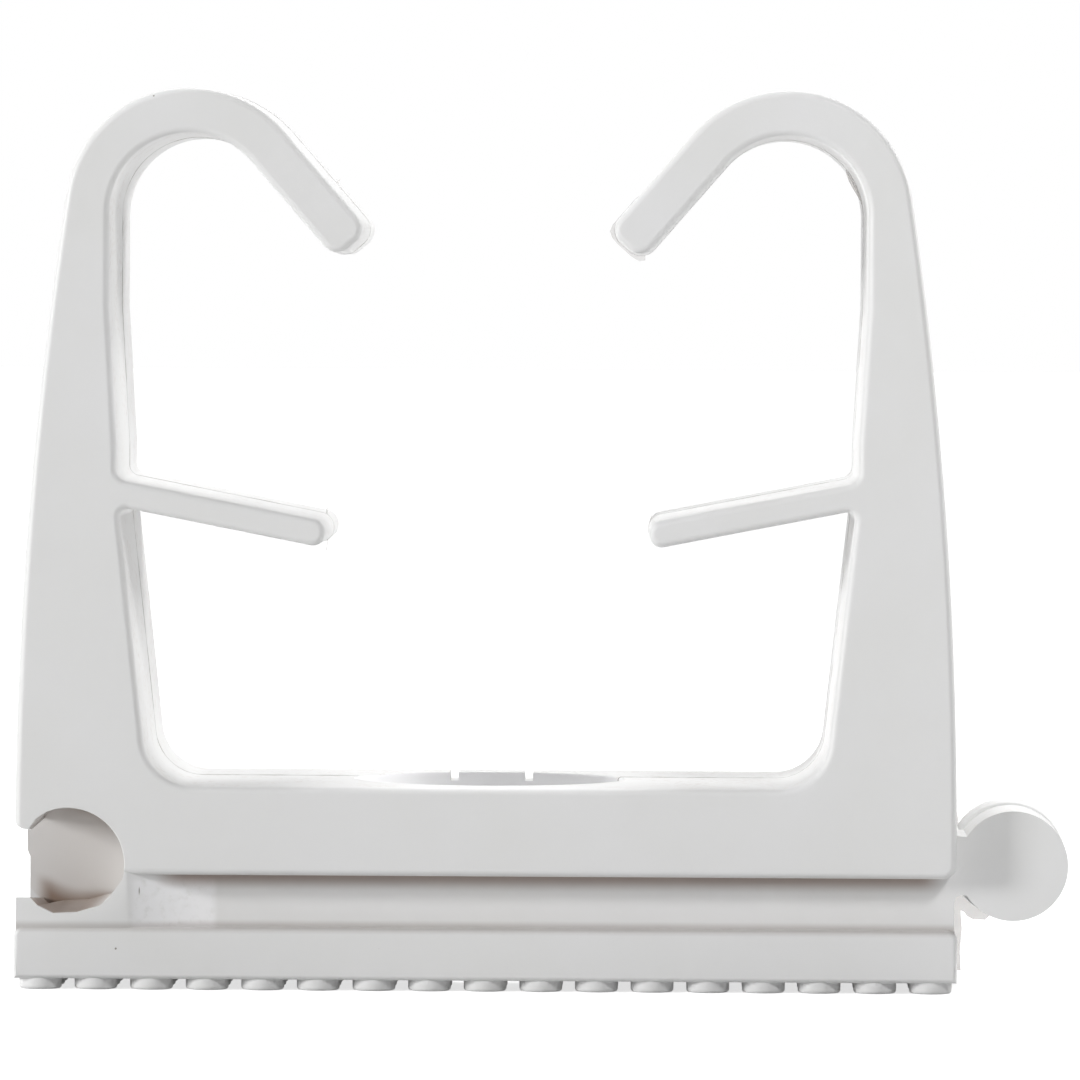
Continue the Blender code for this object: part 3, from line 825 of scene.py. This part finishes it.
class CLIP_OT_join(Operator):
    """Join the forms to one body, and cut the socket, the screw's recess and hole, and the notches"""

    bl_idname = "clip.join"
    bl_label = "Join and cut"

    def socket_cutter(self, link):
        """Cutter with a flared front rim: the wide outline is inset ring by ring as it goes in."""
        rim = link.rim_radius
        beyond = -flange_half() - MOUTH_REACH

        def lip_point(degrees, distance):
            reach = distance * MM + rim
            angle = math.radians(degrees)
            return socket_x() + reach * math.cos(angle), link.height + reach * math.sin(angle)

        lower = [lip_point(*point) for point in LOWER_LIP]
        upper = [lip_point(*point) for point in UPPER_LIP]
        end = [(along * MM - foot_half(), link.height + up * MM) for along, up in LIP_END]
        round_part = 360 + UPPER_LIP[0][0] - LOWER_LIP[-1][0] - LIP_GAP
        cutter = begin_outline("socket_cutter", beyond, lower[0][1], FRONT - MM)
        lines_to(cutter, *lower)
        arc_about(cutter, socket_x(), link.height, math.radians(round_part))
        lines_to(cutter, *upper, *end, (beyond, end[-1][1]))
        close_outline(cutter)
        deepen(FRONT - MM, FRONT)
        choose(cutter, "FACE", at_level(FRONT))
        for along, aside in quarter_round(rim, RIM_STEPS):
            bpy.ops.mesh.inset(thickness=along, depth=aside)
        extrude(0, PARTING + link.clearance - FRONT - rim, 0)
        choose(cutter, "VERT", lambda corner: corner.co.y > PARTING and corner.co.z < link.height - MM
               and corner.co.x < socket_x() - FALL_START)
        bpy.ops.transform.translate(value=(0, 0, -link.lip_fall))
        close_edit()
        return cutter

    def round_cutter(self, name, radius, low, high, flare):
        """Upright round cutter whose upper edge flares out."""
        cutter = add_round(name, CUTTER_SIDES, radius, high - low, (0, 0, (low + high) / 2))
        if flare:
            open_for_edit(cutter)
            choose(cutter, "FACE", lambda face: all(corner.co.z > high - NEAR for corner in face.verts))
            wide = radius
            for up, out in quarter_round(flare, FLARE_STEPS):
                extrude(0, 0, up)
                growth = (wide + out) / wide
                bpy.ops.transform.resize(value=(growth, growth, 1))
                wide += out
            extrude(0, 0, MM)
            close_edit()
        return cutter

    def execute(self, context):
        seat = context.scene.clip_seat
        floor = floor_height()
        base = bpy.data.objects["flange"]
        combine(base, bpy.data.objects["studs"], "UNION")
        body = bpy.data.objects["arms"]
        combine(body, bpy.data.objects["web"], "UNION")
        combine(body, base, "UNION")
        combine(body, self.socket_cutter(context.scene.clip_link), "DIFFERENCE")
        rim = floor + context.scene.clip_mould.draft - RECESS_FLARE
        recess = self.round_cutter("recess_cutter", seat.recess_radius, floor - seat.recess_depth, rim,
                                   RECESS_FLARE)
        combine(body, recess, "DIFFERENCE")
        hole = self.round_cutter("hole_cutter", seat.hole_radius, -MM, floor, 0)
        combine(body, hole, "DIFFERENCE")
        low = floor - seat.notch_depth
        for side in (-1, 1):
            left = (side * seat.notch_spacing - seat.notch_width) / 2
            notch = add_block("notch_cutter", (left, seat.hole_radius, low),
                              (left + seat.notch_width, BACK + MM, low + 2 * MM))
            combine(body, notch, "DIFFERENCE")
        body.name = "moulded_clip"
        body.data.name = "moulded_clip"
        move_to_place(body)
        bpy.ops.object.shade_smooth_by_angle(angle=math.radians(SHARP_ANGLE))
        apply_modifier(body, "WEIGHTED_NORMAL", keep_sharp=True)
        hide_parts("clip_body")
        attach(body, "root")
        return {"FINISHED"}


class CLIP_OT_flash(Operator):
    """Model the films and hairs of flash that the mould left at the parting plane"""

    bl_idname = "clip.flash"
    bl_label = "Flash"

    def film(self, name, corners, thickness, back=0):
        """Thin film in the middle of the parting fin, or further back, from its corners in millimetres."""
        front = PARTING - (bpy.context.scene.clip_mould.fin_width + thickness) / 2 + back
        points = [(x * MM, z * MM) for x, z in corners]
        film = begin_outline(name, *points[0], front)
        lines_to(film, *points[1:])
        close_outline(film)
        deepen(front, front + thickness)
        close_edit()
        return film

    def add_to(self, piece):
        """Join the film just made to a piece."""
        piece.select_set(True)
        bpy.context.view_layer.objects.active = piece
        bpy.ops.object.join()

    def execute(self, context):
        link = context.scene.clip_link
        seam = PARTING - context.scene.clip_mould.fin_width / 2
        flash = add_round("thin_flash", DISC_SIDES, link.ring_radius, link.flash,
                          (disc_x() - link.ring_shift, seam, link.disc_height), lying=True)
        open_for_edit(flash)
        choose(flash, "FACE", lambda face: len(face.verts) == DISC_SIDES)
        bpy.ops.mesh.inset(thickness=RING_INSET, depth=0)
        close_edit()
        for corners in LOOSE_FILMS:
            self.film("loose_film", corners, link.flash)
            self.add_to(flash)
        side = self.film("side_flash", SIDE_FILM, link.flash, link.flash + NEAR)
        self.film("arm_film", ARM_FILM, link.flash)
        self.add_to(side)
        for piece in (flash, side):
            move_to_place(piece)
            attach(piece, "root")
        return {"FINISHED"}


def add_node(tree, kind, settings=None, links=None, values=None):
    """Add a shader node with its settings, its input values and its incoming links."""
    node = tree.nodes.new("ShaderNode" + kind)
    for name, value in (settings or {}).items():
        setattr(node, name, value)
    for name, value in (values or {}).items():
        node.inputs[name].default_value = value
    for name, socket in (links or {}).items():
        tree.links.new(socket, node.inputs[name])
    return node


def begin_material(name, values):
    """Add a material with its shader's own values, and find its tree, shader and object coordinates."""
    material = bpy.data.materials.new(name)
    material.use_nodes = True
    tree = material.node_tree
    shader = tree.nodes["Principled BSDF"]
    for socket, value in values.items():
        shader.inputs[socket].default_value = value
    return material, tree, shader, add_node(tree, "TexCoord").outputs["Object"]


class CLIP_OT_plastic(Operator):
    """Make the satin white moulded plastic and its thin flash, and give them to the pieces"""

    bl_idname = "clip.plastic"
    bl_label = "White plastic"

    def datums(self):
        """Places that the layers' ramps start from."""
        scene = bpy.context.scene
        axis = body_middle() + socket_x()
        return {"front": FRONT, "parting": PARTING, "seam": PARTING - scene.clip_mould.fin_width / 2,
                "middle": body_middle(), "axis": axis, "centre": 0, "recess": scene.clip_seat.recess_radius,
                "flange": flange_top(), "beam": beam_bottom(), "floor": floor_height(),
                "link": scene.clip_link.height, "lip_shade_edge": LIP_SHADE_SLOPE * axis + scene.clip_link.height}

    def measures(self, tree, place):
        """Places, directions, distances and patterns that the layers' ramps are measured along."""
        middle = body_middle()
        x, y, z = add_node(tree, "SeparateXYZ", links={"Vector": place}).outputs
        normal = add_node(tree, "TexCoord").outputs["Normal"]
        facing = add_node(tree, "SeparateXYZ", links={"Vector": normal}).outputs["Y"]
        slant = add_node(tree, "VectorMath", {"operation": "DOT_PRODUCT"}, {0: place},
                         {1: (LIP_SHADE_SLOPE, 0, 1)}).outputs["Value"]
        measures = {"x": x, "y": y, "z": z, "facing": facing, "slant": slant}
        hair_x, hair_z = HAIR_PLACE
        for name, stretch, centre in (
                ("from_screw", (1, 1, 0), (middle, 0, 0)),
                ("from_axis", (1, 0, 1), (middle + socket_x(), 0, bpy.context.scene.clip_link.height)),
                ("from_hair", (1, 0, HAIR_FLATNESS), (middle + hair_x * MM, 0, hair_z * MM * HAIR_FLATNESS))):
            flat = add_node(tree, "VectorMath", {"operation": "MULTIPLY"}, {0: place}, {1: stretch})
            away = add_node(tree, "VectorMath", {"operation": "DISTANCE"},
                            {0: flat.outputs["Vector"]}, {1: centre})
            measures[name] = away.outputs["Value"]
        for name, kind, output, size, values in PATTERNS:
            scale = {"Scale": 1 / (size * MM)}
            pattern = add_node(tree, kind, links={"Vector": place}, values={**scale, **values})
            measures[name] = pattern.outputs[output]
        return measures

    def film(self, name, alpha):
        """The plastic squeezed to a film under a tenth of a millimetre thick, which lets light pass."""
        look = bpy.context.scene.clip_plastic
        film, tree, shader, place = begin_material(name, {"Roughness": FILM_ROUGHNESS, "Alpha": alpha})
        streaks = add_node(tree, "TexNoise", links={"Vector": place},
                           values={"Scale": 1 / STREAK_SIZE, "Detail": 2.0})
        tone = add_node(tree, "Mix", {"data_type": "RGBA"}, {"Factor": streaks.outputs["Fac"]},
                        {"A": (*look.film, 1), "B": (*look.base, 1)}).outputs["Result"]
        tree.links.new(tone, shader.inputs["Base Color"])
        return film

    def plastic(self, look):
        """The clip's plastic, with its wear, dust, painted shade and painted light."""
        # Polyamide or polypropylene, injection moulded in a lightly spark-eroded mould: a satin white with a
        # soft broad gloss, a faint grain, slow changes of tone, painted shade in its creases and on its seam,
        # and painted light on its ramp and in its screw's recess. The real grain is about 0.05 mm wide, and
        # is drawn coarser so that it shows.
        material, tree, shader, place = begin_material("satin_white_moulded_polyamide",
                                                       {"Metallic": 0.0, "IOR": PLASTIC_IOR})
        broad = add_node(tree, "TexNoise", links={"Vector": place},
                         values={"Scale": 1 / TONE_SIZE, "Detail": 3.0, "Roughness": 0.5})
        grain = add_node(tree, "TexNoise", links={"Vector": place},
                         values={"Scale": 1 / look.grain, "Detail": 2.0, "Roughness": 0.6})
        tone = add_node(tree, "Mix", {"data_type": "RGBA"}, {"Factor": broad.outputs["Fac"]},
                        {"A": (*look.base, 1), "B": (*look.frost, 1)}).outputs["Result"]
        datums = self.datums()
        measures = self.measures(tree, place)
        for tint, blend, ramps in LAYERS:
            mask = {}
            for measure, datum, empty, full in ramps:
                start, unit = (datums[datum], MM) if datum else (0, 1)
                ramp = add_node(tree, "MapRange", {"interpolation_type": "SMOOTHSTEP"},
                                {"Value": measures[measure], **mask},
                                {"From Min": start + empty * unit, "From Max": start + full * unit})
                mask = {"To Max": ramp.outputs["Result"]}
            tone = add_node(tree, "Mix", {"data_type": "RGBA", "blend_type": blend},
                            {"Factor": mask["To Max"], "A": tone},
                            {"B": (*getattr(look, tint), 1)}).outputs["Result"]
        tree.links.new(tone, shader.inputs["Base Color"])
        low, high = ROUGHNESS_RANGE
        smoother, rougher = ROUGHNESS_CHANGE
        rough = add_node(tree, "MapRange", links={"Value": broad.outputs["Fac"]},
                         values={"From Min": low, "From Max": high, "To Min": look.roughness + smoother,
                                 "To Max": look.roughness + rougher})
        tree.links.new(rough.outputs["Result"], shader.inputs["Roughness"])
        bump = add_node(tree, "Bump", links={"Height": grain.outputs["Fac"]},
                        values={"Strength": GRAIN_STRENGTH, "Distance": GRAIN_HEIGHT})
        tree.links.new(bump.outputs["Normal"], shader.inputs["Normal"])
        return material

    def execute(self, context):
        look = context.scene.clip_plastic
        finishes = {"moulded_clip": self.plastic(look),
                    "thin_flash": self.film("thin_moulding_flash", look.film_alpha),
                    "side_flash": self.film("thicker_moulding_flash", look.side_film_alpha)}
        for name, finish in finishes.items():
            piece = bpy.data.objects[name]
            piece.data.materials.clear()
            piece.data.materials.append(finish)
        return {"FINISHED"}


class CLIP_OT_stage(Operator):
    """Set up the white floor, the soft lights and the camera at the photograph's angle"""

    bl_idname = "clip.stage"
    bl_label = "Studio"

    def shows_background(self, tree):
        """1 for a ray from the camera, a reflection or a look through glass, and 0 for a ray of light."""
        path = add_node(tree, "LightPath").outputs
        seen = path["Is Camera Ray"]
        for ray in ("Is Glossy Ray", "Is Transmission Ray"):
            seen = add_node(tree, "Math", {"operation": "MAXIMUM"}, {0: seen, 1: path[ray]}).outputs["Value"]
        return seen

    def floor(self, look):
        """White card that keeps a soft shadow under the clip and fades to pure white away from it."""
        bpy.ops.object.select_all(action="DESELECT")
        bpy.ops.mesh.primitive_plane_add(size=look.floor_size, location=(0, 0, 0))
        floor = take_name("studio_floor")
        material, tree, shader, place = begin_material("matt_white_card", {
            "Base Color": (*look.floor_colour, 1), "Emission Color": (1, 1, 1, 1),
            "Roughness": CARD_ROUGHNESS})
        away = add_node(tree, "VectorMath", {"operation": "LENGTH"}, links={0: place})
        fade = add_node(tree, "MapRange", {"interpolation_type": "SMOOTHSTEP"},
                        links={"Value": away.outputs["Value"]},
                        values={"From Min": look.shadow_reach, "From Max": FADE_SPAN * look.shadow_reach,
                                "To Min": look.floor_glow, "To Max": 1.0})
        glow = add_node(tree, "Math", {"operation": "MULTIPLY"},
                        links={0: self.shows_background(tree), 1: fade.outputs["Result"]})
        tree.links.new(glow.outputs["Value"], shader.inputs["Emission Strength"])
        floor.data.materials.append(material)

    def world(self, look):
        """Pure white to the camera and in reflections, and a softer white as light."""
        world = bpy.data.worlds.new("white_studio")
        bpy.context.scene.world = world
        world.use_nodes = True
        tree = world.node_tree
        background = tree.nodes["Background"]
        background.inputs["Color"].default_value = (1, 1, 1, 1)
        strength = add_node(tree, "MapRange", links={"Value": self.shows_background(tree)},
                            values={"To Min": look.room_light, "To Max": 1.0})
        tree.links.new(strength.outputs["Result"], background.inputs["Strength"])

    def lamp(self, name, azimuth, elevation, distance, width, height, power):
        """Soft box that faces the clip's middle."""
        turn = math.radians(azimuth)
        lift = math.radians(elevation)
        level = math.cos(lift)
        direction = Vector((-math.sin(turn) * level, -math.cos(turn) * level, math.sin(lift)))
        target = Vector((0, 0, TOP / 2))
        bpy.ops.object.light_add(type="AREA", location=target + direction * distance)
        lamp = bpy.context.active_object
        lamp.name = name
        lamp.data.shape = "RECTANGLE"
        lamp.data.size = width
        lamp.data.size_y = height
        lamp.data.energy = power
        lamp.rotation_euler = (-direction).to_track_quat("-Z", "Y").to_euler()

    def camera(self, look):
        """Camera with a long lens, a little above the clip and to its right."""
        place = Vector((look.camera_side, FRONT - look.camera_distance, look.camera_height))
        aim = Vector((look.aim_side, FRONT, look.aim_height))
        bpy.ops.object.camera_add(location=place)
        camera = bpy.context.active_object
        camera.name = "photo_camera"
        turned = (aim - place).to_track_quat("-Z", "Y").to_matrix().to_4x4()
        camera.rotation_euler = (turned @ Matrix.Rotation(look.roll, 4, "Z")).to_euler()
        camera.data.angle = 2 * math.atan(look.frame_width / 2 / look.camera_distance)
        camera.data.clip_start, camera.data.clip_end = CAMERA_SIGHT
        bpy.context.scene.camera = camera

    def execute(self, context):
        look = context.scene.clip_stage
        self.floor(look)
        self.world(look)
        for lamp in LAMPS:
            self.lamp(*lamp)
        self.camera(look)
        context.scene.view_settings.view_transform = "Standard"
        return {"FINISHED"}


class CLIP_PT_panel(Panel):
    """Buttons and sizes of the clip in the sidebar"""

    bl_idname = "CLIP_PT_panel"
    bl_label = "Conduit Clip"
    bl_space_type = "VIEW_3D"
    bl_region_type = "UI"
    bl_category = "Conduit Clip"

    def draw(self, context):
        for operator in OPERATORS:
            self.layout.operator(operator.bl_idname)
        for name, group in SIZE_GROUPS.items():
            box = self.layout.box()
            box.label(text=group.__doc__)
            for size in group.__annotations__:
                box.prop(getattr(context.scene, name), size)


OPERATORS = (CLIP_OT_arms, CLIP_OT_flange, CLIP_OT_web, CLIP_OT_studs, CLIP_OT_join, CLIP_OT_flash,
             CLIP_OT_plastic, CLIP_OT_stage)
CLASSES = (*SIZE_GROUPS.values(), *OPERATORS, CLIP_PT_panel)


def register():
    """Register the classes and give the scene its groups of sizes."""
    for item in CLASSES:
        bpy.utils.register_class(item)
    for name, group in SIZE_GROUPS.items():
        setattr(bpy.types.Scene, name, PointerProperty(type=group))


def unregister():
    """Take the groups of sizes and the classes away again."""
    for name in SIZE_GROUPS:
        delattr(bpy.types.Scene, name)
    for item in reversed(CLASSES):
        bpy.utils.unregister_class(item)


def main():
    """Register the classes, model the clip and set up the studio."""
    register()
    bpy.ops.clip.arms()
    bpy.ops.clip.flange()
    bpy.ops.clip.web()
    bpy.ops.clip.studs()
    bpy.ops.clip.join()
    bpy.ops.clip.flash()
    bpy.ops.clip.plastic()
    bpy.ops.clip.stage()


if __name__ == "__main__":
    main()
